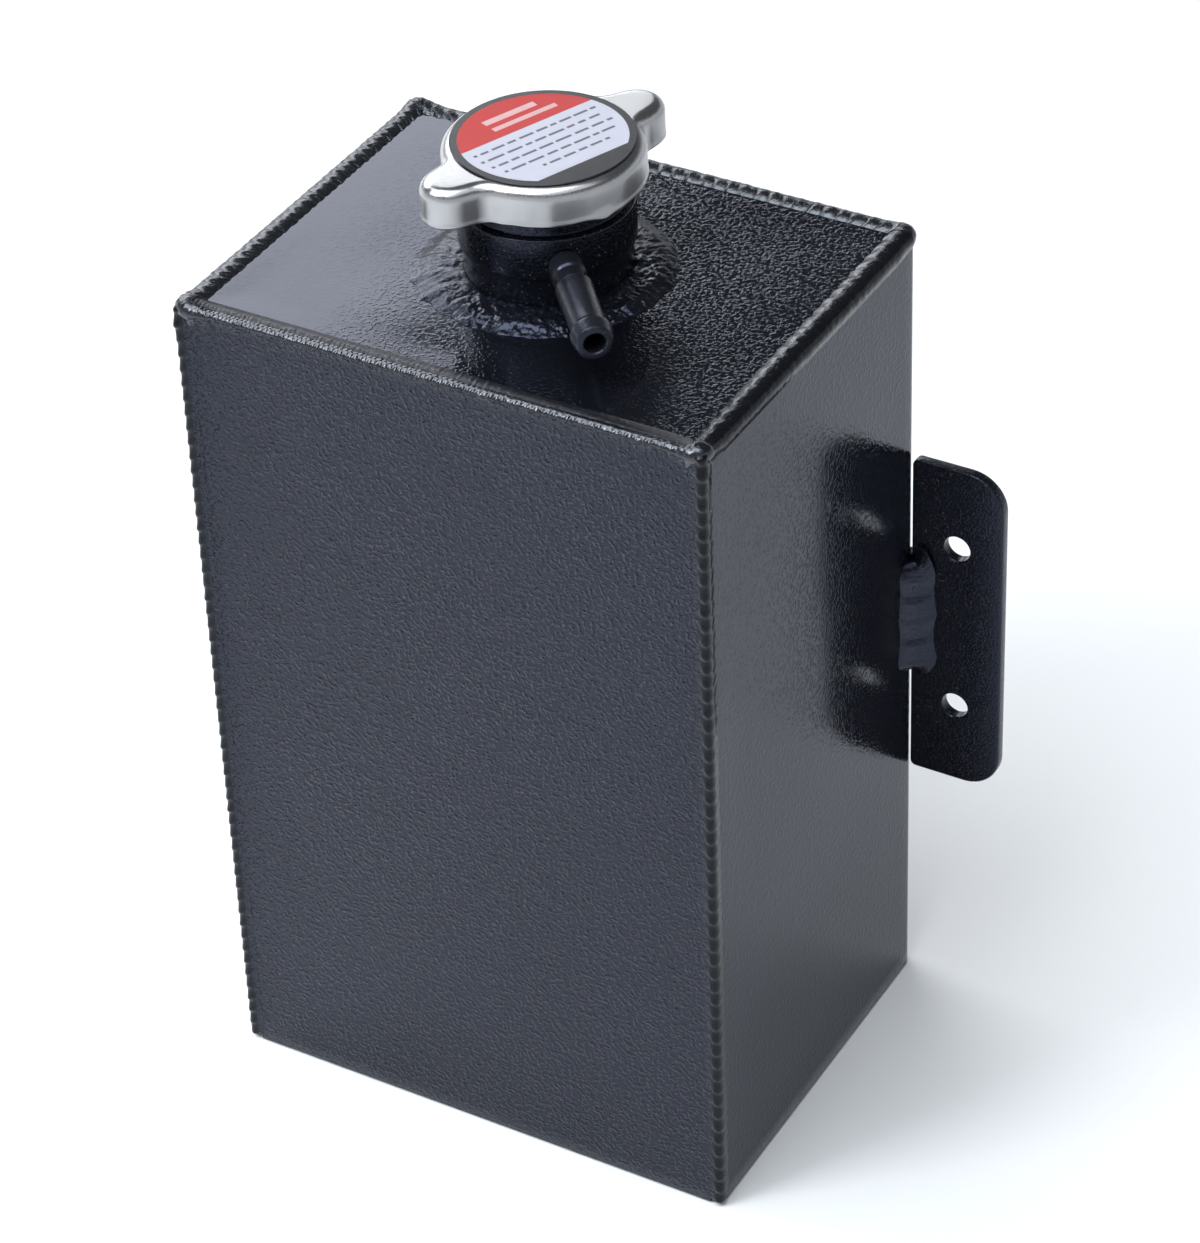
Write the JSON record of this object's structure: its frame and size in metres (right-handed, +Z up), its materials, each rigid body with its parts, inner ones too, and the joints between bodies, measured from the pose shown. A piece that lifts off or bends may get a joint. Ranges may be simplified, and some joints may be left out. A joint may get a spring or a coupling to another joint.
{
  "type": "header tank",
  "caption": "Black box-shaped welded aluminium header tank with wall brackets, an overflow spigot and a sprung pressure cap on a filler neck.",
  "frame": {"origin": "centre of the tank's underside, on the bottom plate's lower face", "axes": "+Z up along the filler neck's axis, +X to the tank's right, +Y to its back, the side that the two wall brackets lie flush with"},
  "size_m": [0.1832, 0.1014, 0.2426],
  "materials": {
    "powder_coat": "black textured powder coat, satin",
    "coated_weld": "powder-coated weld bead, satin",
    "cap_steel": "satin",
    "label_print": "printed plate, satin",
    "rivet_steel": "satin",
    "bell_steel": "satin",
    "spring_steel": "satin",
    "valve_brass": "satin",
    "seal_rubber": "matte"
  },
  "bodies": {
    "tank": {"wrap_shell": "powder_coat", "front_panel": "powder_coat", "top_plate": "powder_coat", "bottom_plate": "powder_coat", "weld_bottom": "coated_weld", "weld_front_left": "coated_weld", "weld_front_right": "coated_weld", "weld_top_front": "coated_weld", "weld_top_back": "coated_weld", "weld_top_left": "coated_weld", "weld_top_right": "coated_weld", "filler_neck": "powder_coat", "neck_weld": "coated_weld", "overflow_spigot": "powder_coat", "bracket_right": "powder_coat", "bracket_right_weld_front": "coated_weld", "bracket_right_weld_back": "coated_weld", "bracket_left": "powder_coat", "bracket_left_weld_front": "coated_weld", "bracket_left_weld_back": "coated_weld", "outlet_spigot": "powder_coat", "outlet_weld": "coated_weld", "return_spigot": "powder_coat", "return_weld": "coated_weld"},
    "cap_core": {"cap_rivet": "rivet_steel", "cap_spring_disc": "spring_steel", "top_gasket": "seal_rubber", "cap_bell": "bell_steel", "pressure_spring": "spring_steel"},
    "cap_cover": {"cap_cover": "cap_steel", "cap_label": "label_print"},
    "pressure_valve": {"valve_plate": "valve_brass", "pressure_seal": "seal_rubber", "vacuum_spring": "spring_steel"},
    "vacuum_valve": {"vacuum_valve": "valve_brass"}
  },
  "joints": [
    {"name": "cap_lift", "type": "slide", "parent": "tank", "child": "cap_core", "axis": [0, 0, 1], "range_m": [0, 0.045]},
    {"name": "cap_turn", "type": "hinge", "parent": "cap_core", "child": "cap_cover", "pos_m": [0, 0, 0.24], "axis": [0, 0, 1], "range_deg": [-90, 0]},
    {"name": "pressure_valve_lift", "type": "slide", "parent": "cap_core", "child": "pressure_valve", "axis": [0, 0, 1], "range_m": [0, 0.0035], "stiffness_N_per_m": 3000, "deforming": ["pressure_spring"]},
    {"name": "vacuum_valve_drop", "type": "slide", "parent": "pressure_valve", "child": "vacuum_valve", "axis": [0, 0, -1], "range_m": [0, 0.0015], "stiffness_N_per_m": 150, "springref_m": -0.001, "deforming": ["vacuum_spring"]}
  ]
}
